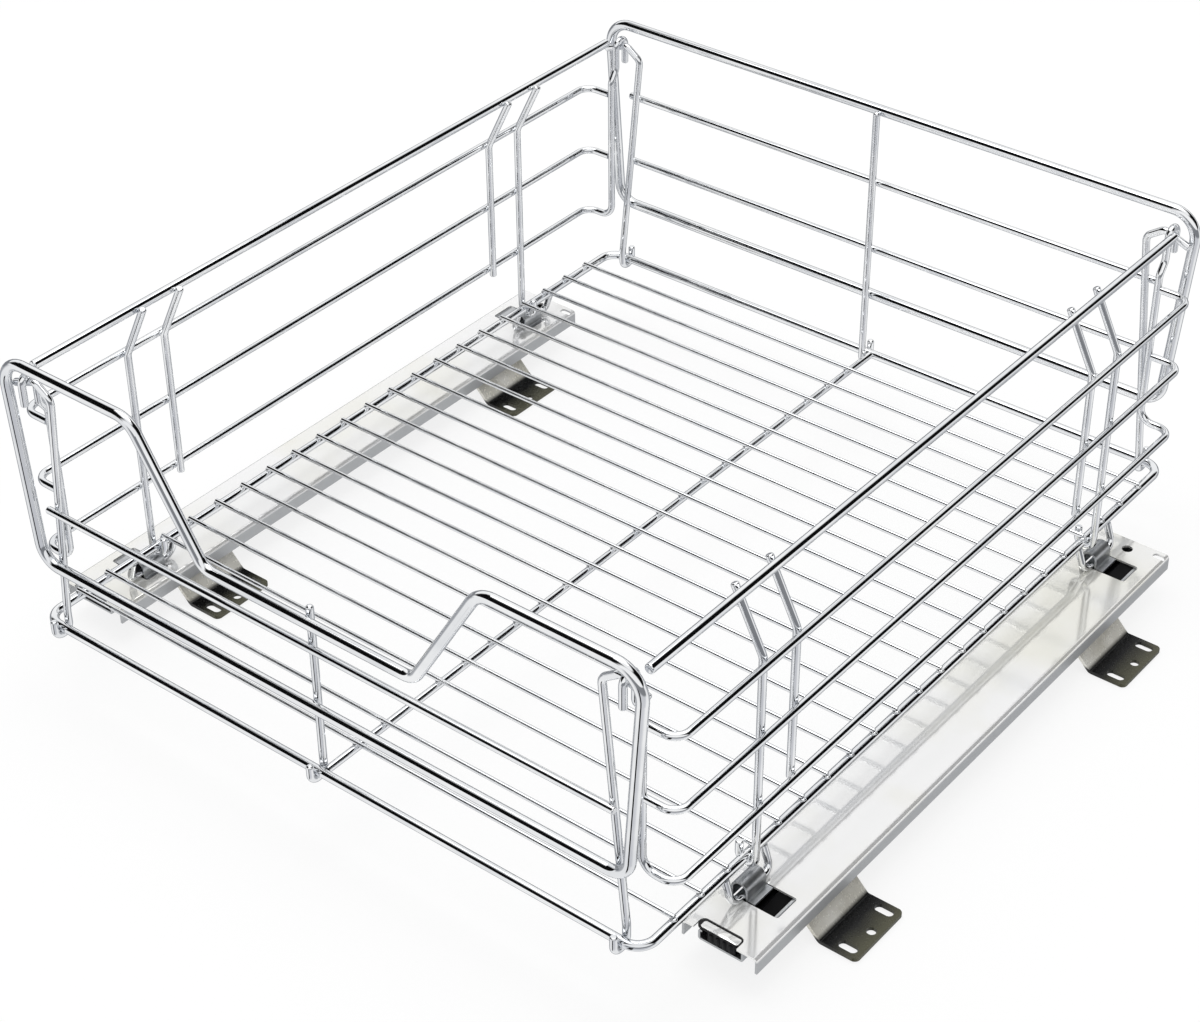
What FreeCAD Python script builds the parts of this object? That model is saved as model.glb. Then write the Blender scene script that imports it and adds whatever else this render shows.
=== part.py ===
import FreeCAD, Part
import math
import os
from FreeCAD import Vector

os.makedirs("parts", exist_ok=True)

# Wire gauges, in millimetres
rim_wire = 5.0
frame_wire = 6.0
thin_wire = 4.0
cross_wire = 2.5
rail_wire = 5.0

# Fits
hook_clearance = 0.1
crook_clearance = 0.3
ball_clearance = 0.05
face_clearance = 0.3
cage_clearance = 0.3
rivet_clearance = 0.05

# Basket floor: half width, depth and height of the rim's centre line above the cabinet floor
rim_half = 193.0
rim_depth = 470.0
rim_z = 39.5
rim_bend = 10.0
cross_count = 22
cross_pitch = 20.0
cross_overhang = 0.5
cross_shift = 2.0          # the cross wires stand this much nearer the front
centre_x = 2.15

# Front and back panels, their widths measured from the rim's centre line
frame_top_spread = 1.3
frame_top_z = 197.5
frame_low_inset = 7.0
frame_low_z = 79.5
frame_top_bend = 14.0
frame_low_bend = 12.0
dip_top_half = 106.0
dip_low_half = 65.5
dip_z = 130.0
dip_top_bend = 14.0
dip_low_bend = 10.0
front_rail_z = 114.0
back_rail_z = (153.0, 110.0)
rail_inset = 15.0
rail_tip_round = 0.8
upright_poke = 6.0
back_upright_poke = 1.0
upright_tip_round = 1.6
hook_tip_rise = 6.0

# Leaning struts at the ends of the front and back panels
strut_foot_inset = 12.0
strut_lean_bend = 20.0
strut_knee_inset = 25.0
strut_knee_z = 180.0
strut_bar_inset = 15.0
strut_bar_z = 187.0
strut_end_z = 181.0
strut_knee_bend = 5.0
strut_bar_bend = 4.0

# Side panels
side_tip_round = 1.0
side_rail_offset = 6.0
side_rail_z = 189.0
side_rail_inset = 11.5
side_wire_z = (156.9, 115.6, 74.4)
side_wire_bend = 8.0
end_upright_inset = 10.5
end_upright_y = 13.5
end_low_bend = 8.0
crook_kink_low_z = 165.0
crook_kink_high_z = 172.0
crook_kink_bend = 6.0
crook_leg = 12.0
slant_run = 14.5
slant_rise = 29.0
slant_poke = 4.0
slant_bend = 8.0
side_shift = 2.0           # the side uprights stand this much nearer the front
hooked_pair_half = 154.0
short_pair_half = 128.5
short_upright_drop = 3.4

# Wire feet that drop into the slides, placed from the slide's centre line and the cover's two ends
foot_bar_inset = 7.5
foot_front_inset = 34.8
foot_rear_inset = 27.8
foot_span = 30.0
foot_bend = 5.0

# Slides, u measured from the slide's centre line
slide_half = 205.5
cover_width = 42.0
cover_sheet = 1.2
cover_top_z = 22.6
cover_flange = 9.0
cover_bend = 1.8
cover_front_y = 41.0
cover_length = 381.0
notch_width = 24.0
notch_depth = 7.5
notch_u = -2.5
notch_bend = 3.0
window_width = 27.6
window_depth = 16.0
window_u = -0.75
window_bend = 1.5
rear_hole_radius = 3.0
rear_hole_inset = 8.5
rear_slot_u = 17.0
rear_slot_inset = 4.6
rear_slot_length = 7.0
rear_slot_width = 4.0

# Clips that hold the feet's bars
clip_sheet = 1.2
clip_length = 14.6
clip_inner_width = 7.2
clip_top_z = 31.6
clip_offset = 1.5
clip_base_bend = 1.3
clip_lip = 4.6
clip_reach = 2.5

# Nested rails and ball cages
rail_sheet = 1.2
rail_bend = 0.9
ball_radius = 1.2
cabinet_wall_u = 12.0
cabinet_lip_u = 10.4
cabinet_lip_rise = 1.4
middle_wall_u = 7.2
middle_flange_u = 11.0
middle_flange_rise = 2.1
drawer_wall_u = 2.4
drawer_flange_u = 10.1
drawer_web_rise = 1.7
cabinet_rail_inset = 1.0
moving_rail_gap = 1.0
rail_rear_inset = 3.0
cage_thickness = 0.8
cage_length = 180.0
cage_setback = 98.0
cage_ball_count = 5
cage_ball_inset = 10.0
bumper_front_inset = 1.3
bumper_lip_gap = 2.4
bumper_corner = 1.0

# Cabinet brackets
bracket_sheet = 2.0
bracket_width = 40.0
bracket_spacing = 248.0
bracket_front_y = 105.5
bracket_flange_left = 12.0
bracket_flange_right = 11.9
bracket_foot_u = 45.4
bracket_bend = 3.0
bracket_corner = 3.0
bracket_slot_u = 37.5
bracket_slot_half = 15.0
bracket_slot_length = 10.0
bracket_slot_width = 5.0
bracket_hole_u = 40.3
bracket_hole_radius = 2.5
rivet_radius = 2.0
rivet_half = 10.0

# Heights of the nested rails, from the cover down to the bracket
drawer_flange_mid = cover_top_z - cover_sheet - rail_sheet / 2
inner_ball_z = drawer_flange_mid - rail_sheet / 2 - ball_clearance - ball_radius
middle_web_mid = inner_ball_z - ball_radius - ball_clearance - rail_sheet / 2
drawer_web_mid = middle_web_mid + drawer_web_rise
middle_flange_mid = middle_web_mid + middle_flange_rise
outer_ball_z = middle_flange_mid - rail_sheet / 2 - ball_clearance - ball_radius
cabinet_web_mid = outer_ball_z - ball_radius - ball_clearance - rail_sheet / 2
bracket_top_z = cabinet_web_mid - rail_sheet / 2
inner_ball_u = (drawer_wall_u + middle_wall_u) / 2
outer_ball_u = (middle_wall_u + cabinet_wall_u) / 2
cage_width = middle_wall_u - drawer_wall_u - rail_sheet - 2 * cage_clearance

# Widths that follow the rim
frame_top_half = rim_half + frame_top_spread
frame_low_half = rim_half - frame_low_inset
rail_half = rim_half - rail_inset
strut_foot_x = rim_half - strut_foot_inset
strut_knee_x = rim_half - strut_knee_inset
strut_bar_x = rim_half - strut_bar_inset
strut_end_x = rim_half
side_rail_x = rim_half - side_rail_offset
end_upright_x = rim_half - end_upright_inset

# Places that follow the slides: the feet sit in the clips, and the rails lie under the covers
foot_bar_x = slide_half - foot_bar_inset
foot_bar_z = cover_top_z + thin_wire / 2
cover_rear_y = cover_front_y + cover_length
foot_ys = (cover_front_y + foot_front_inset, cover_rear_y - foot_rear_inset)
cabinet_front_y = cover_front_y + cabinet_rail_inset
moving_front_y = cover_front_y + notch_depth + moving_rail_gap
drawer_front_y = moving_front_y - face_clearance
rail_rear_y = cover_rear_y - rail_rear_inset
bracket_ys = (bracket_front_y, bracket_front_y + bracket_spacing)
bracket_middle_y = bracket_front_y + bracket_spacing / 2
origin_shift = Vector(-bracket_hole_u, -bracket_middle_y, 0)

# Planes of the front and back panels, measured inwards from the rim's centre line
upright_y = (rim_wire + thin_wire) / 2 + hook_clearance
frame_y = upright_y - (thin_wire + frame_wire) / 2
rail_y = upright_y - thin_wire
side_upright_x = rim_half + upright_y
side_wire_x = side_upright_x + thin_wire
hook_tip_z = rim_z + hook_tip_rise
crook_radius = thin_wire + crook_clearance
cross_z = rim_z + (rim_wire + cross_wire) / 2
centre_z = cross_z - (cross_wire + thin_wire) / 2
cross_start = (rim_depth - (cross_count - 1) * cross_pitch) / 2 - cross_shift
middle_y = rim_depth / 2
side_middle_y = middle_y - side_shift


# Start, middle and end of the arc that rounds one corner of a path
def bend_at(before, corner, after, radius):
    arriving = (corner - before).normalize()
    leaving = (after - corner).normalize()
    half_turn = arriving.getAngle(leaving) / 2
    setback = radius * math.tan(half_turn)
    inwards = (leaving - arriving).normalize()
    middle = corner + inwards * (radius / math.cos(half_turn) - radius)
    return corner - arriving * setback, middle, corner + leaving * setback


# Straight runs joined by tangent arcs, with one radius for each bend
def rounded_edges(points, radii, closed):
    count = len(points)
    stations = []
    for i in range(count):
        if closed or 0 < i < count - 1:
            radius = radii[i] if closed else radii[i - 1]
            stations.append(bend_at(points[i - 1], points[i], points[(i + 1) % count], radius))
        else:
            stations.append((points[i],))
    edges = []
    for i in range(count):
        if len(stations[i]) == 3:
            edges.append(Part.Arc(*stations[i]).toShape())
        if closed or i < count - 1:
            start = stations[i][-1]
            end = stations[(i + 1) % count][0]
            if (end - start).Length > 0.001:
                edges.append(Part.makeLine(start, end))
    return edges


# Round wire bent along a path, its free ends softened where a rounding is given
def bent_wire(points, radii, diameter, closed=False, rounding=0.0):
    path = Part.Wire(rounded_edges(points, radii, closed))
    first = path.OrderedEdges[0]
    start = first.valueAt(first.FirstParameter)
    ring = Part.Wire([Part.makeCircle(diameter / 2, start, first.tangentAt(first.FirstParameter))])
    solid = path.makePipeShell([ring], True, False)
    if rounding:
        tips = [e for e in solid.Edges for f in (points[0], points[-1])
                if len(e.Vertexes) == 1 and (e.CenterOfMass - f).Length < 0.01]
        solid = solid.makeFillet(rounding, tips)
    return solid


def straight_wire(start, end, diameter, rounding=0.0):
    run = end - start
    solid = Part.makeCylinder(diameter / 2, run.Length, start, run)
    if rounding:
        solid = solid.makeFillet(rounding, [e for e in solid.Edges if len(e.Vertexes) == 1])
    return solid


# One side of a bent sheet's outline, shifted across its middle line
def sheet_side(points, bends, shift):
    normals = []
    for i in range(len(points) - 1):
        run = (points[i + 1] - points[i]).normalize()
        normals.append(Vector(-run.z, 0, run.x))
    moved = [points[0] + normals[0] * shift]
    radii = []
    for i in range(1, len(points) - 1):
        before = normals[i - 1]
        after = normals[i]
        moved.append(points[i] + (before + after) * (shift / (1 + before.dot(after))))
        turn = before.x * after.z - before.z * after.x
        radii.append(bends[i - 1] - math.copysign(shift, turn * shift))
    moved.append(points[-1] + normals[-1] * shift)
    return moved, radii


# Bent sheet: a folded middle line in the XZ plane, thickened and run along Y
def bent_sheet(points, bends, thickness, front_y, length):
    line = [Vector(x, front_y, z) for x, z in points]
    left, left_radii = sheet_side(line, bends, thickness / 2)
    right, right_radii = sheet_side(line, bends, -thickness / 2)
    edges = rounded_edges(left, left_radii, False)
    edges.append(Part.makeLine(left[-1], right[-1]))
    edges += rounded_edges(right, right_radii, False)
    edges.append(Part.makeLine(right[0], left[0]))
    outline = Part.Wire(Part.__sortEdges__(edges))
    return Part.Face(outline).extrude(Vector(0, length, 0))


# Upright block with rounded corners in plan
def rounded_block(x_low, x_high, y_low, y_high, z_low, z_high, corner):
    points = [Vector(x_low, y_low, z_low), Vector(x_high, y_low, z_low),
              Vector(x_high, y_high, z_low), Vector(x_low, y_high, z_low)]
    outline = Part.Wire(rounded_edges(points, [corner] * 4, True))
    return Part.Face(outline).extrude(Vector(0, 0, z_high - z_low))


def save(name, solids):
    shape = solids[0] if len(solids) == 1 else Part.makeCompound(solids)
    shape.translated(origin_shift).exportStep("parts/" + name + ".step")


# Front panels turn into back panels by reflection in the basket's middle plane
def to_back(solid):
    return solid.mirror(Vector(0, middle_y, 0), Vector(0, 1, 0))


def to_left(solid):
    return solid.mirror(Vector(0, 0, 0), Vector(1, 0, 0))


# Basket floor
rim_corners = [Vector(-rim_half, 0, rim_z), Vector(rim_half, 0, rim_z),
               Vector(rim_half, rim_depth, rim_z), Vector(-rim_half, rim_depth, rim_z)]
save("floor_rim", [bent_wire(rim_corners, [rim_bend] * 4, rim_wire, closed=True)])
cross_half = rim_half + cross_overhang
cross_wires = []
for i in range(cross_count):
    y = cross_start + i * cross_pitch
    cross_wires.append(straight_wire(Vector(-cross_half, y, cross_z), Vector(cross_half, y, cross_z),
                                     cross_wire))
save("floor_cross_wires", cross_wires)
centre_end = rim_wire / 2
save("floor_centre_wire", [straight_wire(Vector(centre_x, centre_end, centre_z),
                                         Vector(centre_x, rim_depth - centre_end, centre_z), thin_wire)])


# Front and back panels: frame, rails, centre upright and struts
def frame_loop(dips):
    points = [Vector(-frame_low_half, frame_y, frame_low_z), Vector(frame_low_half, frame_y, frame_low_z),
              Vector(frame_top_half, frame_y, frame_top_z)]
    radii = [frame_low_bend, frame_low_bend, frame_top_bend]
    if dips:
        points += [Vector(dip_top_half, frame_y, frame_top_z), Vector(dip_low_half, frame_y, dip_z),
                   Vector(-dip_low_half, frame_y, dip_z), Vector(-dip_top_half, frame_y, frame_top_z)]
        radii += [dip_top_bend, dip_low_bend, dip_low_bend, dip_top_bend]
    points.append(Vector(-frame_top_half, frame_y, frame_top_z))
    radii.append(frame_top_bend)
    return bent_wire(points, radii, frame_wire, closed=True)


def panel_rail(z):
    return straight_wire(Vector(-rail_half, rail_y, z), Vector(rail_half, rail_y, z), thin_wire,
                         rail_tip_round)


# The hook passes under the rim and turns up on its far side
def panel_hook(x):
    low_z = rim_z - upright_y
    return [Vector(x, -upright_y, hook_tip_z), Vector(x, -upright_y, low_z), Vector(x, upright_y, low_z)]


def centre_upright(top_z):
    points = panel_hook(-centre_x) + [Vector(-centre_x, upright_y, top_z)]
    return bent_wire(points, [upright_y, upright_y], thin_wire, rounding=upright_tip_round)


strut_points = panel_hook(strut_foot_x) + [
    Vector(strut_foot_x, upright_y, hook_tip_z),
    Vector(strut_knee_x, upright_y, strut_knee_z),
    Vector(strut_bar_x, upright_y, strut_bar_z),
    Vector(strut_end_x, upright_y, strut_end_z)]
strut = bent_wire(strut_points, [upright_y, upright_y, strut_lean_bend, strut_knee_bend, strut_bar_bend],
                  thin_wire, rounding=side_tip_round)

save("front_frame", [frame_loop(True)])
save("front_thin_rail", [panel_rail(front_rail_z)])
save("front_centre_upright", [centre_upright(dip_z + upright_poke)])
save("front_right_strut", [strut])
save("front_left_strut", [to_left(strut)])
save("back_frame", [to_back(frame_loop(False))])
save("back_upper_rail", [to_back(panel_rail(back_rail_z[0]))])
save("back_lower_rail", [to_back(panel_rail(back_rail_z[1]))])
save("back_centre_upright", [to_back(centre_upright(frame_top_z + back_upright_poke))])
save("back_right_strut", [to_back(strut)])
save("back_left_strut", [to_back(to_left(strut))])

# Side panel: the lowest wire runs on into both end uprights, whose crooks hang on the strut bars
bar_slope = (strut_end_z - strut_bar_z) / (strut_end_x - strut_bar_x)
crook_z = strut_bar_z + bar_slope * (end_upright_x - strut_bar_x)
crook_inner_y = upright_y + crook_radius
crook_outer_y = upright_y - crook_radius
crook_top_z = crook_z + crook_radius
half_end = [
    Vector(end_upright_x, crook_outer_y, crook_top_z - crook_radius - crook_leg),
    Vector(end_upright_x, crook_outer_y, crook_top_z),
    Vector(end_upright_x, crook_inner_y, crook_top_z),
    Vector(end_upright_x, crook_inner_y, crook_kink_high_z),
    Vector(end_upright_x, end_upright_y, crook_kink_low_z),
    Vector(end_upright_x, end_upright_y, side_wire_z[2]),
    Vector(side_wire_x, end_upright_y, side_wire_z[2])]
other_end = [Vector(p.x, rim_depth - p.y, p.z) for p in reversed(half_end)]
end_radii = [crook_radius, crook_radius, crook_kink_bend, crook_kink_bend, end_low_bend]
end_loop = bent_wire(half_end + other_end, end_radii + [side_wire_bend] * 2 + end_radii[::-1], thin_wire,
                     rounding=side_tip_round)


def side_wire(z):
    butt_x = end_upright_x + thin_wire / 2
    points = [Vector(butt_x, end_upright_y, z), Vector(side_wire_x, end_upright_y, z),
              Vector(side_wire_x, rim_depth - end_upright_y, z), Vector(butt_x, rim_depth - end_upright_y, z)]
    return bent_wire(points, [side_wire_bend] * 2, thin_wire)


# The slanted top of each upright lies against the inside of the top rail
slant_length = math.hypot(slant_run, slant_rise)
rail_offset = (rail_wire + thin_wire) / 2
touch_x = side_rail_x - rail_offset * slant_rise / slant_length
touch_z = side_rail_z - rail_offset * slant_run / slant_length
tip_x = touch_x - slant_poke * slant_run / slant_length
tip_z = touch_z + slant_poke * slant_rise / slant_length
slant_low = touch_z - (side_upright_x - touch_x) * slant_rise / slant_run


def side_upright(y, hooked):
    top = [Vector(side_upright_x, y, slant_low), Vector(tip_x, y, tip_z)]
    if not hooked:
        return bent_wire([Vector(side_upright_x, y, side_wire_z[2] - short_upright_drop)] + top, [slant_bend],
                         thin_wire, rounding=side_tip_round)
    low_z = rim_z - upright_y
    hook_x = rim_half - upright_y
    hook = [Vector(hook_x, y, hook_tip_z), Vector(hook_x, y, low_z), Vector(side_upright_x, y, low_z)]
    return bent_wire(hook + top, [upright_y, upright_y, slant_bend], thin_wire,
                     rounding=side_tip_round)


side_rail = straight_wire(Vector(side_rail_x, side_rail_inset, side_rail_z),
                          Vector(side_rail_x, rim_depth - side_rail_inset, side_rail_z), rail_wire,
                          side_tip_round)
side_nodes = {
    "top_rail": [side_rail],
    "upper_wire": [side_wire(side_wire_z[0])],
    "middle_wire": [side_wire(side_wire_z[1])],
    "end_loop": [end_loop],
    "front_hook_upright": [side_upright(side_middle_y - hooked_pair_half, True)],
    "rear_hook_upright": [side_upright(side_middle_y + hooked_pair_half, True)],
    "short_uprights": [side_upright(side_middle_y - short_pair_half, False),
                       side_upright(side_middle_y + short_pair_half, False)]}
for name, solids in side_nodes.items():
    save("right_" + name, solids)
    save("left_" + name, [to_left(s) for s in solids])

# Wire feet: a level bar with two legs butted to the underside of the rim
leg_run = foot_bar_x - rim_half
leg_rise = rim_z - foot_bar_z
leg_length = math.hypot(leg_run, leg_rise)
leg_top_x = rim_half + leg_run * rim_wire / 2 / leg_length
leg_top_z = rim_z - leg_rise * rim_wire / 2 / leg_length
for name, y in zip(("front", "rear"), foot_ys):
    front_leg_y = y - foot_span / 2
    rear_leg_y = y + foot_span / 2
    points = [Vector(leg_top_x, front_leg_y, leg_top_z), Vector(foot_bar_x, front_leg_y, foot_bar_z),
              Vector(foot_bar_x, rear_leg_y, foot_bar_z), Vector(leg_top_x, rear_leg_y, leg_top_z)]
    foot = bent_wire(points, [foot_bend] * 2, thin_wire)
    save("right_" + name + "_foot", [foot])
    save("left_" + name + "_foot", [to_left(foot)])


# Slide cover: a shallow channel with a front notch, windows for the feet and two rear holes
def slide_cover(x):
    wall = cover_width / 2 - cover_sheet / 2
    top = cover_top_z - cover_sheet / 2
    low = cover_top_z - cover_flange
    section = [(x - wall, low), (x - wall, top), (x + wall, top), (x + wall, low)]
    cover = bent_sheet(section, [cover_bend] * 2, cover_sheet, cover_front_y, cover_length)
    floor = cover_top_z - 2 * cover_sheet
    roof = cover_top_z + cover_sheet
    cuts = [rounded_block(x + notch_u - notch_width / 2, x + notch_u + notch_width / 2,
                          cover_front_y - notch_depth, cover_front_y + notch_depth, floor, roof, notch_bend)]
    for y in foot_ys:
        cuts.append(rounded_block(x + window_u - window_width / 2, x + window_u + window_width / 2,
                                  y - window_depth / 2, y + window_depth / 2, floor, roof, window_bend))
    cuts.append(Part.makeCylinder(rear_hole_radius, roof - floor,
                                  Vector(x, cover_rear_y - rear_hole_inset, floor)))
    cuts.append(rounded_block(x + rear_slot_u - rear_slot_length / 2, x + rear_slot_u + rear_slot_length / 2,
                              cover_rear_y - rear_slot_inset - rear_slot_width / 2,
                              cover_rear_y - rear_slot_inset + rear_slot_width / 2,
                              floor, roof, rear_slot_width / 2 - 0.01))
    return cover.cut(cuts)


# Foot clip: rises beside the bar, turns over it in a half circle and ends in a flat lip.
# The left one starts with a flat plate.
def foot_clip(bar_x, y, lip_limit, plate_left=None):
    mid = cover_top_z - clip_sheet / 2
    top = clip_top_z - clip_sheet / 2
    arch_x = bar_x - clip_offset
    wall = (clip_inner_width + clip_sheet) / 2
    lip_end = min(arch_x + wall + clip_lip, lip_limit)
    arch = [(arch_x - wall, top), (arch_x + wall, top), (arch_x + wall, mid), (lip_end, mid)]
    bends = [wall, wall, clip_base_bend]
    if plate_left is None:
        start = [(arch_x - wall, mid - clip_sheet / 2)]
    else:
        start = [(plate_left, mid), (arch_x - wall, mid)]
        bends = [clip_base_bend] + bends
    return bent_sheet(start + arch, bends, clip_sheet, y - clip_length / 2, clip_length)


def cabinet_rail(x):
    wall = cabinet_wall_u
    lip = middle_flange_mid + cabinet_lip_rise
    section = [(x - cabinet_lip_u, lip), (x - wall, lip), (x - wall, cabinet_web_mid),
               (x + wall, cabinet_web_mid), (x + wall, lip), (x + cabinet_lip_u, lip)]
    rail = bent_sheet(section, [rail_bend] * 4, rail_sheet, cabinet_front_y, rail_rear_y - cabinet_front_y)
    holes = []
    for y in bracket_ys:
        for side in (-1, 1):
            holes.append(Part.makeCylinder(rivet_radius + rivet_clearance, rail_sheet,
                                           Vector(x, y + side * rivet_half, bracket_top_z)))
    return rail.cut(holes)


def hat_rail(x, wall, flange, web_mid, flange_mid, front_y):
    section = [(x - flange, flange_mid), (x - wall, flange_mid), (x - wall, web_mid),
               (x + wall, web_mid), (x + wall, flange_mid), (x + flange, flange_mid)]
    return bent_sheet(section, [rail_bend] * 4, rail_sheet, front_y, rail_rear_y - front_y)


def ball_ys():
    first = moving_front_y + cage_setback + cage_ball_inset
    pitch = (cage_length - 2 * cage_ball_inset) / (cage_ball_count - 1)
    return [first + i * pitch for i in range(cage_ball_count)]


def balls(x, u, z):
    return [Part.makeSphere(ball_radius, Vector(x + side * u, y, z)) for side in (-1, 1) for y in ball_ys()]


def cage(x, u, z):
    strips = []
    for side in (-1, 1):
        strip = Part.makeBox(cage_width, cage_length, cage_thickness,
                             Vector(x + side * u - cage_width / 2, moving_front_y + cage_setback,
                                    z - cage_thickness / 2))
        holes = [Part.makeCylinder(ball_radius + ball_clearance, cage_thickness,
                                   Vector(x + side * u, y, z - cage_thickness / 2)) for y in ball_ys()]
        strips.append(strip.cut(holes))
    return strips


# Cabinet bracket: flange under the rail, sloping web and a slotted foot
def bracket(x, y):
    flange_mid = bracket_top_z - bracket_sheet / 2
    foot_mid = bracket_sheet / 2
    fold_u = bracket_flange_right + flange_mid - foot_mid
    section = [(x - bracket_flange_left, flange_mid), (x + bracket_flange_right, flange_mid),
               (x + fold_u, foot_mid), (x + bracket_foot_u, foot_mid)]
    body = bent_sheet(section, [bracket_bend] * 2, bracket_sheet, y - bracket_width / 2, bracket_width)
    ends = [e for e in body.Edges
            if abs(e.CenterOfMass.z - foot_mid) < 0.01 and abs(e.CenterOfMass.x - x - bracket_foot_u) < 0.01
            and abs(e.Length - bracket_sheet) < 0.01]
    body = body.makeFillet(bracket_corner, ends)
    cuts = [Part.makeCylinder(bracket_hole_radius, 2 * bracket_sheet,
                              Vector(x + bracket_hole_u, y, -bracket_sheet / 2))]
    for side in (-1, 1):
        slot_y = y + side * bracket_slot_half
        cuts.append(rounded_block(x + bracket_slot_u - bracket_slot_length / 2,
                                  x + bracket_slot_u + bracket_slot_length / 2,
                                  slot_y - bracket_slot_width / 2, slot_y + bracket_slot_width / 2,
                                  -bracket_sheet / 2, 2 * bracket_sheet, bracket_slot_width / 2 - 0.01))
        cuts.append(Part.makeCylinder(rivet_radius + rivet_clearance, 2 * bracket_sheet,
                                      Vector(x, y + side * rivet_half, bracket_top_z - 1.5 * bracket_sheet)))
    return body.cut(cuts)


def rivets(x):
    height = bracket_sheet + rail_sheet
    low = bracket_top_z - bracket_sheet
    return [Part.makeCylinder(rivet_radius, height, Vector(x, y + side * rivet_half, low))
            for y in bracket_ys for side in (-1, 1)]


# Plastic bumper: stands between the cabinet rail's lips, meets the drawer rail and fills the cover's notch
def front_bumper(x):
    front = cover_front_y + bumper_front_inset
    half = cabinet_lip_u - bumper_lip_gap
    low = cabinet_web_mid + rail_sheet / 2 + face_clearance
    ledge = cover_top_z - cover_sheet
    block = rounded_block(x - half, x + half, front, drawer_front_y, low, ledge, bumper_corner)
    notch_left = x + notch_u - notch_width / 2 + face_clearance
    notch_right = x + notch_u + notch_width / 2 - face_clearance
    tongue = rounded_block(notch_left, notch_right, front, cover_front_y + notch_depth - face_clearance,
                           ledge, cover_top_z - face_clearance, notch_bend - face_clearance)
    return block.fuse(tongue).removeSplitter()


for name, x, foot_x in (("right", slide_half, foot_bar_x), ("left", -slide_half, -foot_bar_x)):
    plate_left = x + window_u - window_width / 2 + clip_reach if name == "left" else None
    save(name + "_cover", [slide_cover(x)])
    lip_limit = x + window_u + window_width / 2 - face_clearance
    save(name + "_clips", [foot_clip(foot_x, y, lip_limit, plate_left) for y in foot_ys])
    save(name + "_drawer_rail", [hat_rail(x, drawer_wall_u, drawer_flange_u, drawer_web_mid,
                                          drawer_flange_mid, drawer_front_y)])
    save(name + "_middle_rail", [hat_rail(x, middle_wall_u, middle_flange_u, middle_web_mid,
                                          middle_flange_mid, moving_front_y)])
    save(name + "_cabinet_rail", [cabinet_rail(x)])
    save(name + "_inner_balls", balls(x, inner_ball_u, inner_ball_z))
    save(name + "_inner_cage", cage(x, inner_ball_u, inner_ball_z))
    save(name + "_outer_balls", balls(x, outer_ball_u, outer_ball_z))
    save(name + "_outer_cage", cage(x, outer_ball_u, outer_ball_z))
    save(name + "_front_bracket", [bracket(x, bracket_ys[0])])
    save(name + "_rear_bracket", [bracket(x, bracket_ys[1])])
    save(name + "_rivets", rivets(x))
    save(name + "_bumper", [front_bumper(x)])
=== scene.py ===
import math

import bmesh
import bpy
from mathutils import Matrix, Vector


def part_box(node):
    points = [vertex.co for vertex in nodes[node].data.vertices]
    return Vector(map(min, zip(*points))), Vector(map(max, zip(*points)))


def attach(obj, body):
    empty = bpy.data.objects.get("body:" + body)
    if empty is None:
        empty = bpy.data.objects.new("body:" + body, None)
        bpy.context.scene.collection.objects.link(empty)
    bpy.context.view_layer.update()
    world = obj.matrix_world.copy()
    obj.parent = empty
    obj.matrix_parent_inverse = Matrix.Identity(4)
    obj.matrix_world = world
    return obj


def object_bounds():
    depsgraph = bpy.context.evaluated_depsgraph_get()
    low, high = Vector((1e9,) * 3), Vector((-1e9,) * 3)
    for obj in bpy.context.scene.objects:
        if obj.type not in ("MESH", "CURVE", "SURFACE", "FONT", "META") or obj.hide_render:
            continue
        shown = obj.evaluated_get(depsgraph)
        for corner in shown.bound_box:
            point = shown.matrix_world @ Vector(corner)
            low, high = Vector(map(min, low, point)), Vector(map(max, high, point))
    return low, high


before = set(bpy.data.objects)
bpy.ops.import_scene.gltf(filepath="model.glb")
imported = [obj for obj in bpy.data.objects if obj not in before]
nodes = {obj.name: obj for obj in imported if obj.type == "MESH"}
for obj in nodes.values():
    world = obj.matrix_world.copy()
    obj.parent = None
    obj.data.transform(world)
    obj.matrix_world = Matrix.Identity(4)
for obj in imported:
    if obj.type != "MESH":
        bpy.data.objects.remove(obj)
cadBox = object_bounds()
print("loaded", len(nodes), "cad nodes")


def srgb(hexCode):  # hex colour as written on a swatch, turned to linear light
    parts = [int(hexCode[i:i + 2], 16) / 255 for i in (1, 3, 5)]
    return [c / 12.92 if c <= 0.04045 else ((c + 0.055) / 1.055) ** 2.4 for c in parts] + [1.0]


def addNode(tree, kind, settings=None, links=None):
    node = tree.nodes.new(kind)
    for key, value in (settings or {}).items():
        if isinstance(key, int) or key in node.inputs:
            node.inputs[key].default_value = value
        else:
            setattr(node, key, value)
    for key, source in (links or {}).items():
        tree.links.new(source, node.inputs[key])
    return node


def newMaterial(name):
    material = bpy.data.materials.new(name)
    material.use_nodes = True
    tree = material.node_tree
    tree.nodes.clear()
    return material, tree


def finishMaterial(tree, shader):
    addNode(tree, "ShaderNodeOutputMaterial", links={"Surface": shader.outputs[0]})


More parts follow.
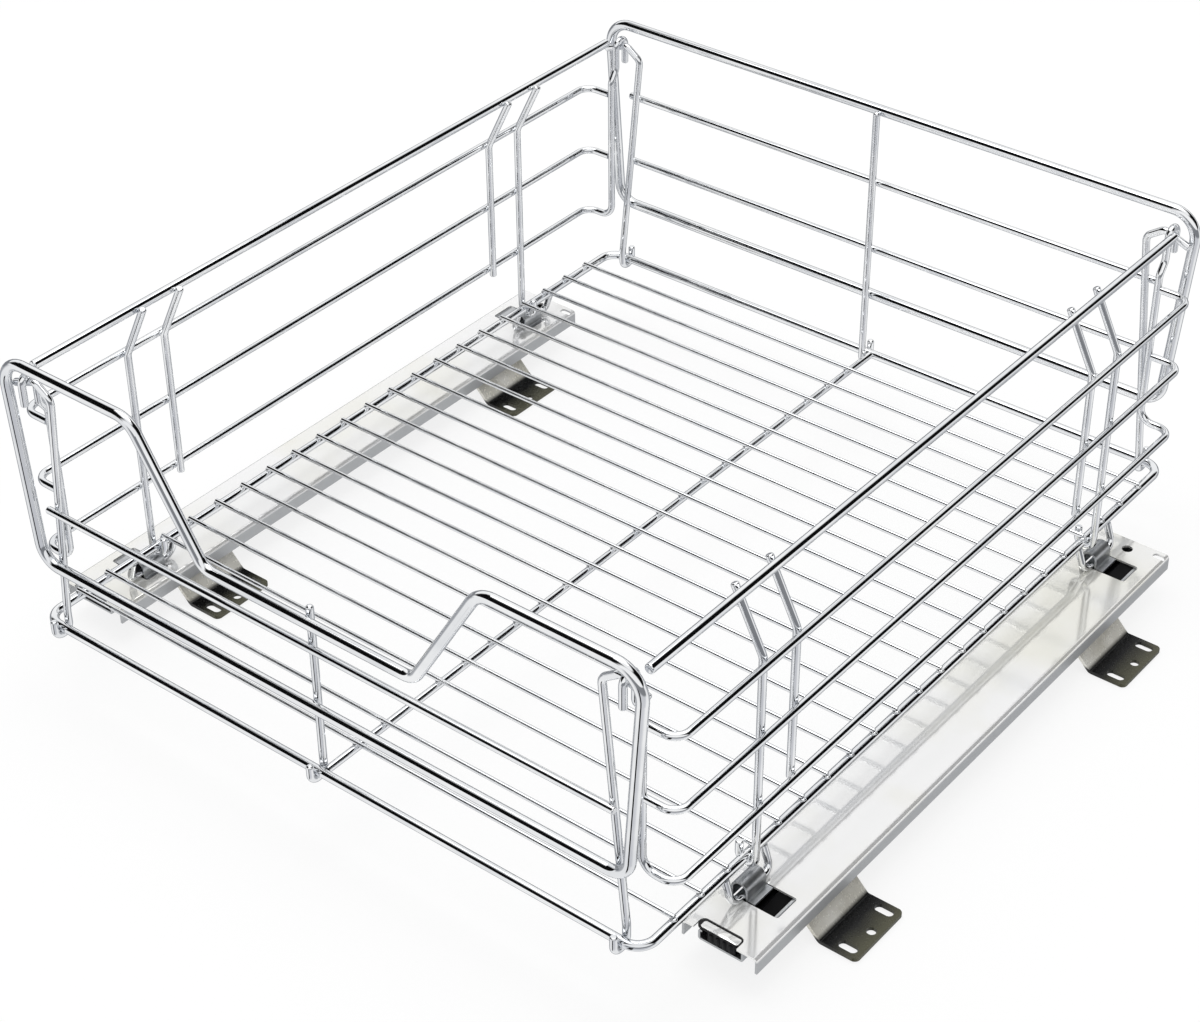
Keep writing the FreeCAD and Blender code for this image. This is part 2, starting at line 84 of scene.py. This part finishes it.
# Metals share one recipe: cloudy tone, fine grain along one axis, and roughness that wanders with wear
def plateMetal(name, look):
    material, tree = newMaterial(name)
    spot = addNode(tree, "ShaderNodeTexCoord")
    stretch = addNode(tree, "ShaderNodeMapping", {"Scale": look["grainScale"]}, {"Vector": spot.outputs["Object"]})
    cloud = addNode(tree, "ShaderNodeTexNoise", {"Scale": 1000 / look["cloudMm"], "Detail": 3.0},
                    {"Vector": spot.outputs["Object"]})
    grain = addNode(tree, "ShaderNodeTexNoise", {"Scale": 1000 / look["grainMm"], "Detail": 4.0},
                    {"Vector": stretch.outputs[0]})
    tone = addNode(tree, "ShaderNodeValToRGB", links={"Fac": cloud.outputs["Fac"]})
    tone.color_ramp.elements[0].position = look["toneFrom"]
    tone.color_ramp.elements[0].color = srgb(look["dark"])
    tone.color_ramp.elements[1].position = look["toneTo"]
    tone.color_ramp.elements[1].color = srgb(look["light"])
    rough = addNode(tree, "ShaderNodeMapRange", {"To Min": look["roughLow"], "To Max": look["roughHigh"]},
                    {"Value": grain.outputs["Fac"]})
    # Below a given height the plate turns satin, and its colour is painted grey as painted shade on the flanges
    if "satinAndShadeBelowMm" in look:
        axes = addNode(tree, "ShaderNodeSeparateXYZ", links={"Vector": spot.outputs["Object"]})
        below = addNode(tree, "ShaderNodeMapRange", {"From Min": look["satinAndShadeBelowMm"] / 1000,
                                                     "From Max": (look["satinAndShadeBelowMm"] - look["satinAndShadeSoftMm"]) / 1000},
                        {"Value": axes.outputs["Z"]})
        satin = addNode(tree, "ShaderNodeMapRange", {"To Max": look["satinRough"]}, {"Value": below.outputs[0]})
        rough = addNode(tree, "ShaderNodeMath", {"operation": "MAXIMUM"}, {0: rough.outputs[0], 1: satin.outputs[0]})
        tone = addNode(tree, "ShaderNodeMix", {"data_type": "RGBA", 7: srgb(look["flangePaintedShade"])},
                       {0: below.outputs[0], 6: tone.outputs[0]})
    bump = addNode(tree, "ShaderNodeBump", {"Strength": look["bump"], "Distance": look["bumpMm"] / 1000},
                   {"Height": grain.outputs["Fac"]})
    shader = addNode(tree, "ShaderNodeBsdfPrincipled", {"Metallic": look["metallic"]},
                     {"Base Color": tone.outputs["Result" if "satinAndShadeBelowMm" in look else "Color"],
                      "Roughness": rough.outputs[0], "Normal": bump.outputs[0]})
    finishMaterial(tree, shader)
    return material


# Bright chrome plate on drawn wire: mirror-like, with a trace of the wire's draw marks
chromePlate = plateMetal("brightChromePlate", {
    "light": "#F4F5F6", "dark": "#E2E4E7", "toneFrom": 0.35, "toneTo": 0.65, "cloudMm": 30,
    "metallic": 1.0, "grainMm": 1.5, "grainScale": (1, 1, 1), "roughLow": 0.035, "roughHigh": 0.085,
    "bump": 0.05, "bumpMm": 0.02})

# Bright zinc plate on rolled sheet: pale, with a faint straw tint in patches; its flanges are satin, and their grey
# is painted shade
zincPlate = plateMetal("brightZincPlate", {
    "light": "#F6F6F6", "dark": "#EFEEE6", "toneFrom": 0.35, "toneTo": 0.6, "cloudMm": 60,
    "metallic": 0.5, "grainMm": 1.2, "grainScale": (1, 0.05, 1), "roughLow": 0.07, "roughHigh": 0.14,
    "bump": 0.05, "bumpMm": 0.02, "satinAndShadeBelowMm": 21.4, "satinAndShadeSoftMm": 1.0, "satinRough": 0.42,
    "flangePaintedShade": "#B9BBBD"})

# Satin spring steel of the foot clips: an even mid grey that shows their round backs beside the bright cover
springSteel = plateMetal("satinSpringSteel", {
    "light": "#C4C6C8", "dark": "#A4A7AA", "toneFrom": 0.3, "toneTo": 0.7, "cloudMm": 8,
    "metallic": 0.9, "grainMm": 0.7, "grainScale": (1, 0.1, 1), "roughLow": 0.24, "roughHigh": 0.38,
    "bump": 0.1, "bumpMm": 0.02})

# Rolled rail steel under a film of grease: greyer and softer than the cover
rolledSteel = plateMetal("rolledRailSteel", {
    "light": "#C9CBCD", "dark": "#A9ABAD", "toneFrom": 0.3, "toneTo": 0.7, "cloudMm": 25,
    "metallic": 1.0, "grainMm": 0.8, "grainScale": (1, 0.05, 1), "roughLow": 0.24, "roughHigh": 0.42,
    "bump": 0.12, "bumpMm": 0.03})

# Drawer rail steel coloured near black: reads as a dark slot through the cover's windows
nearBlackSteel = plateMetal("nearBlackRailSteel", {
    "light": "#151516", "dark": "#0A0A0B", "toneFrom": 0.3, "toneTo": 0.7, "cloudMm": 12,
    "metallic": 1.0, "grainMm": 0.6, "grainScale": (1, 0.2, 1), "roughLow": 0.35, "roughHigh": 0.55,
    "bump": 0.15, "bumpMm": 0.03})

# Nickel plate on a pressed bracket: its slope is a light warm grey. Its foot is painted dark, black at the fold and
# olive-grey further out, as a painted reflection of the shaded web and cover underside
def pressedNickel(name, foldX):
    look = {"light": "#F6F4EC", "dark": "#DBD8CC", "cloudMm": 16, "foldPaintedReflection": "#040405", "footPaintedReflection": "#4E4D3B",
            "toneFrom": 0.35, "toneTo": 0.65, "footTopMm": 2.2, "slopeFromMm": 3.8, "blackToMm": 6.5,
            "oliveFromMm": 19.0, "swirlMm": 8.0, "metallic": 0.35, "grainMm": 2.2, "roughLow": 0.2,
            "roughHigh": 0.32, "bump": 0.03, "bumpMm": 0.03}
    material, tree = newMaterial(name)
    spot = addNode(tree, "ShaderNodeTexCoord")
    axes = addNode(tree, "ShaderNodeSeparateXYZ", links={"Vector": spot.outputs["Object"]})
    cloud = addNode(tree, "ShaderNodeTexNoise", {"Scale": 1000 / look["cloudMm"], "Detail": 3.0},
                    {"Vector": spot.outputs["Object"]})
    grain = addNode(tree, "ShaderNodeTexNoise", {"Scale": 1000 / look["grainMm"], "Detail": 1.0},
                    {"Vector": spot.outputs["Object"]})
    slope = addNode(tree, "ShaderNodeValToRGB", links={"Fac": cloud.outputs["Fac"]})
    slope.color_ramp.elements[0].position = look["toneFrom"]
    slope.color_ramp.elements[0].color = srgb(look["dark"])
    slope.color_ramp.elements[1].position = look["toneTo"]
    slope.color_ramp.elements[1].color = srgb(look["light"])
    swirl = addNode(tree, "ShaderNodeMath", {"operation": "MULTIPLY_ADD", 1: look["swirlMm"] / 1000,
                                             2: -look["swirlMm"] / 2000}, {0: cloud.outputs["Fac"]})
    reach = addNode(tree, "ShaderNodeMath", {"operation": "ADD"}, {0: axes.outputs["X"], 1: swirl.outputs[0]})
    # Painted reflection on the foot: black at the fold, turning olive-grey further out along X, with a cloudy edge
    outwards = addNode(tree, "ShaderNodeMapRange", {"From Min": foldX + look["blackToMm"] / 1000,
                                                    "From Max": foldX + look["oliveFromMm"] / 1000},
                       {"Value": reach.outputs[0]})
    foot = addNode(tree, "ShaderNodeValToRGB", links={"Fac": outwards.outputs[0]})
    foot.color_ramp.elements[0].color = srgb(look["foldPaintedReflection"])
    foot.color_ramp.elements[1].color = srgb(look["footPaintedReflection"])
    # Below the slope, the foot takes that painted dark tone
    height = addNode(tree, "ShaderNodeMapRange", {"From Min": look["footTopMm"] / 1000,
                                                  "From Max": look["slopeFromMm"] / 1000},
                     {"Value": axes.outputs["Z"]})
    tone = addNode(tree, "ShaderNodeMix", {"data_type": "RGBA"},
                   {0: height.outputs[0], 6: foot.outputs[0], 7: slope.outputs[0]})
    rough = addNode(tree, "ShaderNodeMapRange", {"To Min": look["roughLow"], "To Max": look["roughHigh"]},
                    {"Value": grain.outputs["Fac"]})
    bump = addNode(tree, "ShaderNodeBump", {"Strength": look["bump"], "Distance": look["bumpMm"] / 1000},
                   {"Height": grain.outputs["Fac"]})
    shader = addNode(tree, "ShaderNodeBsdfPrincipled", {"Metallic": look["metallic"]},
                     {"Base Color": tone.outputs["Result"], "Roughness": rough.outputs[0],
                      "Normal": bump.outputs[0]})
    finishMaterial(tree, shader)
    return material


# Where the foot folds on each side, in metres along X: both slides carry their bracket feet towards +X
foldPlaces = {"right": 0.1900, "left": -0.2210}
rightNickel = pressedNickel("pressedNickelPaintedFootRight", foldPlaces["right"])
leftNickel = pressedNickel("pressedNickelPaintedFootLeft", foldPlaces["left"])

# Hardened bearing balls: polished to a mirror
bearingSteel = plateMetal("polishedBearingSteel", {
    "light": "#E4E5E7", "dark": "#D2D3D6", "toneFrom": 0.4, "toneTo": 0.6, "cloudMm": 2,
    "metallic": 1.0, "grainMm": 0.3, "grainScale": (1, 1, 1), "roughLow": 0.04, "roughHigh": 0.08,
    "bump": 0.02, "bumpMm": 0.01})


# Moulded acetal: near black, satin, with the fine texture of a spark-eroded tool
def mouldedPlastic():
    look = {"dark": "#060607", "light": "#101012", "sparkMm": 0.35, "ior": 1.48, "specular": 0.25,
            "roughLow": 0.38, "roughHigh": 0.55, "bump": 0.25, "bumpMm": 0.04}
    material, tree = newMaterial("mouldedBlackAcetal")
    spot = addNode(tree, "ShaderNodeTexCoord")
    spark = addNode(tree, "ShaderNodeTexNoise", {"Scale": 1000 / look["sparkMm"], "Detail": 3.0},
                    {"Vector": spot.outputs["Object"]})
    tone = addNode(tree, "ShaderNodeValToRGB", links={"Fac": spark.outputs["Fac"]})
    tone.color_ramp.elements[0].color = srgb(look["dark"])
    tone.color_ramp.elements[1].color = srgb(look["light"])
    rough = addNode(tree, "ShaderNodeMapRange", {"To Min": look["roughLow"], "To Max": look["roughHigh"]},
                    {"Value": spark.outputs["Fac"]})
    bump = addNode(tree, "ShaderNodeBump", {"Strength": look["bump"], "Distance": look["bumpMm"] / 1000},
                   {"Height": spark.outputs["Fac"]})
    shader = addNode(tree, "ShaderNodeBsdfPrincipled", {"IOR": look["ior"], "Specular IOR Level": look["specular"]},
                     {"Base Color": tone.outputs[0], "Roughness": rough.outputs[0], "Normal": bump.outputs[0]})
    finishMaterial(tree, shader)
    return material


blackAcetal = mouldedPlastic()

slideFinishes = {
    "cover": zincPlate, "clips": springSteel, "drawer_rail": nearBlackSteel, "middle_rail": rolledSteel,
    "cabinet_rail": rolledSteel, "rivets": rolledSteel, "outer_cage": rolledSteel, "inner_cage": rolledSteel,
    "outer_balls": bearingSteel, "inner_balls": bearingSteel, "bumper": blackAcetal}
for name, node in nodes.items():
    finish = chromePlate
    for ending, metal in slideFinishes.items():
        if name in ("left_" + ending, "right_" + ending):
            finish = metal
    if name.endswith("_bracket"):
        finish = leftNickel if name.startswith("left") else rightNickel
    node.data.materials.clear()
    node.data.materials.append(finish)
print("finishes set")


# A small added piece: its shape becomes an object that moves with the basket
def basketPiece(name, shape, material, sharpDegrees=35):
    for face in shape.faces:
        face.smooth = True
    mesh = bpy.data.meshes.new(name)
    shape.to_mesh(mesh)
    shape.free()
    mesh.set_sharp_from_angle(angle=math.radians(sharpDegrees))
    mesh.materials.append(material)
    piece = bpy.data.objects.new(name, mesh)
    bpy.context.scene.collection.objects.link(piece)
    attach(piece, "basket")


# Weld nuggets: the flat bead that resistance welding squeezes out where a cross wire lies on the wire under it
def weldNuggets():
    look = {"count": 22, "pitchMm": 20.0, "alongMm": 2.1, "acrossMm": 1.75, "tallMm": 0.75}
    crossLow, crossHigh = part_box("floor_cross_wires")
    rimLow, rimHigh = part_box("floor_rim")
    centreLow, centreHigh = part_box("floor_centre_wire")
    half = (crossHigh.z - crossLow.z) / 2
    rimRadius = (rimHigh.z - rimLow.z) / 2
    beads = bmesh.new()
    for x in (rimLow.x + rimRadius, (centreLow.x + centreHigh.x) / 2, rimHigh.x - rimRadius):
        for i in range(look["count"]):
            place = Matrix.Translation((x, crossLow.y + half + i * look["pitchMm"] / 1000, crossLow.z))
            flat = Matrix.Diagonal((look["alongMm"] / 1000, look["acrossMm"] / 1000, look["tallMm"] / 1000, 1.0))
            bmesh.ops.create_icosphere(beads, subdivisions=2, radius=1.0, matrix=place @ flat)
    basketPiece("weld_nuggets", beads, chromePlate, sharpDegrees=180)


weldNuggets()


# Front insert: upright grip ribs on its black face, and a thin metal strip laid on its tongue. Made in millimetres
def insertDetails(side):
    look = {"ribCount": 4, "ribPitch": 3.6, "ribRadius": 1.2, "ribOut": 0.8, "ribFoot": 0.4, "ribTop": 4.6,
            "faceFrom": 6.2, "faceWidth": 16.0, "ribRound": 0.25, "stripThick": 0.25, "stripSunk": 0.05,
            "stripLeft": 2.0, "stripRight": 0.7, "stripFront": 0.5, "stripBack": 2.1, "stripCorner": 1.2,
            "stripEdge": 0.08, "flatWithin": 1e-4}
    toMetres = (0.001, 0.001, 0.001)
    low, high = [corner * 1000 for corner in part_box(side + "_bumper")]
    ribs = bmesh.new()
    middleX = low.x + look["faceFrom"] + look["faceWidth"] / 2
    ribY = low.y - look["ribOut"] + look["ribRadius"]
    tall = look["ribTop"] - look["ribFoot"]
    for i in range(look["ribCount"]):
        x = middleX + (i - (look["ribCount"] - 1) / 2) * look["ribPitch"]
        place = Matrix.Translation((x, ribY, low.z + look["ribFoot"] + tall / 2))
        bmesh.ops.create_cone(ribs, cap_ends=True, segments=20, radius1=look["ribRadius"],
                              radius2=look["ribRadius"], depth=tall, matrix=place)
    rings = [e for e in ribs.edges if abs(e.verts[0].co.z - e.verts[1].co.z) < look["flatWithin"]]
    bmesh.ops.bevel(ribs, geom=rings, affect="EDGES", offset=look["ribRound"], segments=3, profile=0.5, material=-1)
    bmesh.ops.scale(ribs, vec=toMetres, verts=ribs.verts)
    basketPiece(side + "_insert_ribs", ribs, blackAcetal)

    strip = bmesh.new()
    left, right = low.x + look["stripLeft"], high.x - look["stripRight"]
    front, back = low.y + look["stripFront"], high.y - look["stripBack"]
    thick = look["stripThick"]
    place = Matrix.Translation(((left + right) / 2, (front + back) / 2, high.z - look["stripSunk"] + thick / 2))
    bmesh.ops.create_cube(strip, size=1.0, matrix=place @ Matrix.Diagonal((right - left, back - front, thick, 1.0)))
    corners = [e for e in strip.edges if abs(e.verts[0].co.z - e.verts[1].co.z) > thick / 2]
    bmesh.ops.bevel(strip, geom=corners, affect="EDGES", offset=look["stripCorner"], segments=5, profile=0.5,
                    material=-1)
    topEdges = [e for e in strip.edges if min(v.co.z for v in e.verts) > high.z + thick / 2]
    bmesh.ops.bevel(strip, geom=topEdges, affect="EDGES", offset=look["stripEdge"], segments=2, profile=0.5,
                    material=-1)
    bmesh.ops.scale(strip, vec=toMetres, verts=strip.verts)
    basketPiece(side + "_insert_strip", strip, zincPlate)


for side in ("left", "right"):
    insertDetails(side)
print("details added")


# Pale floor that looks white, fades out with distance and keeps the object's faint shadow. Reflections pass it by:
# the chrome mirrors the ground of the studio surround instead
def paleFloor():
    look = {"size": 6.0, "colour": "#FFFFFF", "glow": 0.8, "fadeFrom": 0.7, "fadeTo": 2.4, "below": 0.0004}
    material, tree = newMaterial("paintedStudioFloor")
    path = addNode(tree, "ShaderNodeLightPath")
    spot = addNode(tree, "ShaderNodeTexCoord")
    reach = addNode(tree, "ShaderNodeVectorMath", {"operation": "LENGTH"}, {0: spot.outputs["Object"]})
    fade = addNode(tree, "ShaderNodeMapRange", {"From Min": look["fadeFrom"], "From Max": look["fadeTo"],
                                                "To Min": look["glow"]}, {"Value": reach.outputs["Value"]})
    seen = addNode(tree, "ShaderNodeMath", {"operation": "MAXIMUM"},
                   {0: path.outputs["Is Camera Ray"], 1: path.outputs["Is Transmission Ray"]})
    share = addNode(tree, "ShaderNodeMath", {"operation": "MULTIPLY"}, {0: fade.outputs[0], 1: seen.outputs[0]})
    matt = addNode(tree, "ShaderNodeBsdfDiffuse", {"Color": srgb(look["colour"])})
    glow = addNode(tree, "ShaderNodeEmission", {"Color": srgb(look["colour"]), "Strength": 1.0})
    mixed = addNode(tree, "ShaderNodeMixShader", links={0: share.outputs[0], 1: matt.outputs[0], 2: glow.outputs[0]})
    finishMaterial(tree, mixed)
    sheet = bmesh.new()
    bmesh.ops.create_grid(sheet, x_segments=1, y_segments=1, size=look["size"] / 2,
                          matrix=Matrix.Translation((0, 0, cadBox[0].z - look["below"])))
    mesh = bpy.data.meshes.new("studioFloor")
    sheet.to_mesh(mesh)
    sheet.free()
    mesh.materials.append(material)
    floor = bpy.data.objects.new("studioFloor", mesh)
    bpy.context.scene.collection.objects.link(floor)
    floor.visible_glossy = False


paleFloor()


# Studio surround: white, with a dark flag at mid height that draws the black line along each lying wire. The flag
# is open at the back left, for pale covers, and at the front right, for a bright middle on sloping wires.
# Its ground is grey behind, white at the sides and pale in front, where a narrow dark strip draws the thin line
# on the standing wires. Two low grey panels, front right and back left, give those wires a dark side in level views.
# All of it stands still in the room, and only reflections see the dark parts
def studioSurround():
    look = {"white": "#FFFFFF", "strength": 0.75, "flag": "#0A0A0B", "lowEdge": 0.15, "highEdge": 0.84, "soft": 0.04,
            "openTowards": (-0.62, 0.78, 0.0), "openFrom": 0.44, "openTo": 0.6,
            "front": (0.6245, -0.781, 0.0), "frontFrom": 0.3, "frontTo": 0.4, "across": (0.781, 0.6245, 0.0),
            "groundStops": ((0.34, "#AAACB0"), (0.46, "#F8F8F8"), (0.72, "#F8F8F8"), (0.85, "#D2D3D7")),
            "horizonSoft": 0.05, "stripAt": 0.38, "stripHalf": 0.10, "stripSoft": 0.04,
            "panelAxis": (0.76, -0.65, 0.0), "panelFrom": 0.45, "panelTo": 0.6, "panelLow": -0.3, "panelHigh": 0.15,
            "panelFootSoft": 0.1, "panelHeadSoft": 0.05, "panelTone": "#85878B"}
    world = bpy.data.worlds.new("studioSurround")
    bpy.context.scene.world = world
    world.use_nodes = True
    tree = world.node_tree
    tree.nodes.clear()
    spot = addNode(tree, "ShaderNodeTexCoord")
    split = addNode(tree, "ShaderNodeSeparateXYZ", links={"Vector": spot.outputs["Generated"]})
    low = addNode(tree, "ShaderNodeMapRange", {"From Min": look["lowEdge"] - look["soft"],
                                               "From Max": look["lowEdge"] + look["soft"]},
                  {"Value": split.outputs["Z"]})
    high = addNode(tree, "ShaderNodeMapRange", {"From Min": look["highEdge"] + look["soft"],
                                                "From Max": look["highEdge"] - look["soft"]},
                   {"Value": split.outputs["Z"]})
    facing = addNode(tree, "ShaderNodeVectorMath", {"operation": "DOT_PRODUCT", 1: look["openTowards"]},
                     {0: spot.outputs["Generated"]})
    bothWays = addNode(tree, "ShaderNodeMath", {"operation": "ABSOLUTE"}, {0: facing.outputs["Value"]})
    side = addNode(tree, "ShaderNodeMapRange", {"From Min": look["openTo"], "From Max": look["openFrom"]},
                   {"Value": bothWays.outputs[0]})
    band = addNode(tree, "ShaderNodeMath", {"operation": "MULTIPLY"}, {0: low.outputs[0], 1: high.outputs[0]})
    flag = addNode(tree, "ShaderNodeMath", {"operation": "MULTIPLY"}, {0: band.outputs[0], 1: side.outputs[0]})
    forward = addNode(tree, "ShaderNodeVectorMath", {"operation": "DOT_PRODUCT", 1: look["front"]},
                      {0: spot.outputs["Generated"]})
    inFront = addNode(tree, "ShaderNodeMapRange", {"From Min": look["frontFrom"], "From Max": look["frontTo"]},
                      {"Value": forward.outputs["Value"]})
    turned = addNode(tree, "ShaderNodeMapRange", {"From Min": -1.0}, {"Value": forward.outputs["Value"]})
    shade = addNode(tree, "ShaderNodeValToRGB", links={"Fac": turned.outputs[0]})
    while len(shade.color_ramp.elements) < len(look["groundStops"]):
        shade.color_ramp.elements.new(0.5)
    for stop, (position, tone) in zip(shade.color_ramp.elements, look["groundStops"]):
        stop.position, stop.color = position, srgb(tone)
    sideways = addNode(tree, "ShaderNodeVectorMath", {"operation": "DOT_PRODUCT", 1: look["across"]},
                       {0: spot.outputs["Generated"]})
    shifted = addNode(tree, "ShaderNodeMath", {"operation": "ADD", 1: look["stripAt"]},
                      {0: sideways.outputs["Value"]})
    distance = addNode(tree, "ShaderNodeMath", {"operation": "ABSOLUTE"}, {0: shifted.outputs[0]})
    strip = addNode(tree, "ShaderNodeMapRange", {"From Min": look["stripHalf"] + look["stripSoft"],
                                                 "From Max": look["stripHalf"]}, {"Value": distance.outputs[0]})
    line = addNode(tree, "ShaderNodeMath", {"operation": "MULTIPLY"}, {0: strip.outputs[0], 1: inFront.outputs[0]})
    under = addNode(tree, "ShaderNodeMapRange", {"From Min": 0.0, "From Max": -look["horizonSoft"]},
                    {"Value": split.outputs["Z"]})
    path = addNode(tree, "ShaderNodeLightPath")
    onMetal = addNode(tree, "ShaderNodeMath", {"operation": "MULTIPLY"},
                      {0: flag.outputs[0], 1: path.outputs["Is Glossy Ray"]})
    mirrorsGround = addNode(tree, "ShaderNodeMath", {"operation": "MULTIPLY"},
                            {0: under.outputs[0], 1: path.outputs["Is Glossy Ray"]})
    white = addNode(tree, "ShaderNodeBackground", {"Color": srgb(look["white"]), "Strength": 1.0})
    dark = addNode(tree, "ShaderNodeBackground", {"Color": srgb(look["flag"]), "Strength": 1.0})
    soft = addNode(tree, "ShaderNodeBackground", {"Color": srgb(look["white"]), "Strength": look["strength"]})
    direct = addNode(tree, "ShaderNodeMath", {"operation": "MAXIMUM"},
                     {0: path.outputs["Is Camera Ray"], 1: path.outputs["Is Transmission Ray"]})
    seen = addNode(tree, "ShaderNodeMath", {"operation": "MAXIMUM"},
                   {0: direct.outputs[0], 1: path.outputs["Is Glossy Ray"]})
    mirrored = addNode(tree, "ShaderNodeMixShader", links={0: onMetal.outputs[0], 1: white.outputs[0],
                                                           2: dark.outputs[0]})
    grey = addNode(tree, "ShaderNodeBackground", {"Strength": 1.0}, {"Color": shade.outputs["Color"]})
    ground = addNode(tree, "ShaderNodeMixShader", links={0: line.outputs[0], 1: grey.outputs[0], 2: dark.outputs[0]})
    allRound = addNode(tree, "ShaderNodeMixShader", links={0: mirrorsGround.outputs[0], 1: mirrored.outputs[0],
                                                           2: ground.outputs[0]})
    toPanel = addNode(tree, "ShaderNodeVectorMath", {"operation": "DOT_PRODUCT", 1: look["panelAxis"]},
                      {0: spot.outputs["Generated"]})
    eitherWay = addNode(tree, "ShaderNodeMath", {"operation": "ABSOLUTE"}, {0: toPanel.outputs["Value"]})
    atPanel = addNode(tree, "ShaderNodeMapRange", {"From Min": look["panelFrom"], "From Max": look["panelTo"]},
                      {"Value": eitherWay.outputs[0]})
    panelFoot = addNode(tree, "ShaderNodeMapRange", {"From Min": look["panelLow"],
                                                     "From Max": look["panelLow"] + look["panelFootSoft"]},
                        {"Value": split.outputs["Z"]})
    panelHead = addNode(tree, "ShaderNodeMapRange", {"From Min": look["panelHigh"] + look["panelHeadSoft"],
                                                     "From Max": look["panelHigh"]}, {"Value": split.outputs["Z"]})
    panelHeight = addNode(tree, "ShaderNodeMath", {"operation": "MULTIPLY"},
                          {0: panelFoot.outputs[0], 1: panelHead.outputs[0]})
    panelSeen = addNode(tree, "ShaderNodeMath", {"operation": "MULTIPLY"},
                        {0: panelHeight.outputs[0], 1: path.outputs["Is Glossy Ray"]})
    panelShare = addNode(tree, "ShaderNodeMath", {"operation": "MULTIPLY"},
                         {0: atPanel.outputs[0], 1: panelSeen.outputs[0]})
    panel = addNode(tree, "ShaderNodeBackground", {"Color": srgb(look["panelTone"]), "Strength": 1.0})
    withPanels = addNode(tree, "ShaderNodeMixShader", links={0: panelShare.outputs[0], 1: allRound.outputs[0],
                                                             2: panel.outputs[0]})
    whole = addNode(tree, "ShaderNodeMixShader", links={0: seen.outputs[0], 1: soft.outputs[0],
                                                        2: withPanels.outputs[0]})
    addNode(tree, "ShaderNodeOutputWorld", links={"Surface": whole.outputs[0]})


studioSurround()


# Soft light from above, enough for colours to show about as they are written
def softBox(name, look):
    lamp = bpy.data.lights.new(name, "AREA")
    lamp.shape = "RECTANGLE"
    lamp.size, lamp.size_y = look["size"]
    lamp.energy = look["watts"]
    box = bpy.data.objects.new(name, lamp)
    bpy.context.scene.collection.objects.link(box)
    place = Vector(look["place"])
    box.location = place
    box.rotation_mode = "QUATERNION"
    box.rotation_quaternion = (Vector(look["aim"]) - place).to_track_quat("-Z", "Y")


softBox("overheadBox", {"size": (1.6, 1.2), "watts": 14, "place": (-0.3, 0.2, 1.9), "aim": (-0.04, 0, 0.05)})
print("stage ready")


# Camera at the photograph's viewing angle, pointed by its heading, tilt and roll
def photoCamera():
    look = {"place": (0.642796, -0.869413, 0.861395), "heading": 38.644, "tilt": -35.883, "roll": -0.434,
            "focalPixels": 2590.0, "imageWidth": 1200.0, "sensorMm": 36.0, "nearest": 0.02, "farthest": 30.0}
    data = bpy.data.cameras.new("photoCamera")
    data.sensor_width = look["sensorMm"]
    data.lens = look["focalPixels"] / look["imageWidth"] * data.sensor_width
    data.clip_start, data.clip_end = look["nearest"], look["farthest"]
    camera = bpy.data.objects.new("photoCamera", data)
    bpy.context.scene.collection.objects.link(camera)
    bpy.context.scene.camera = camera
    turn = (Matrix.Rotation(math.radians(look["heading"]), 4, "Z")
            @ Matrix.Rotation(math.radians(90 + look["tilt"]), 4, "X")
            @ Matrix.Rotation(math.radians(look["roll"]), 4, "Z"))
    camera.matrix_world = Matrix.Translation(look["place"]) @ turn


photoCamera()
bpy.context.scene.view_settings.view_transform = "Standard"
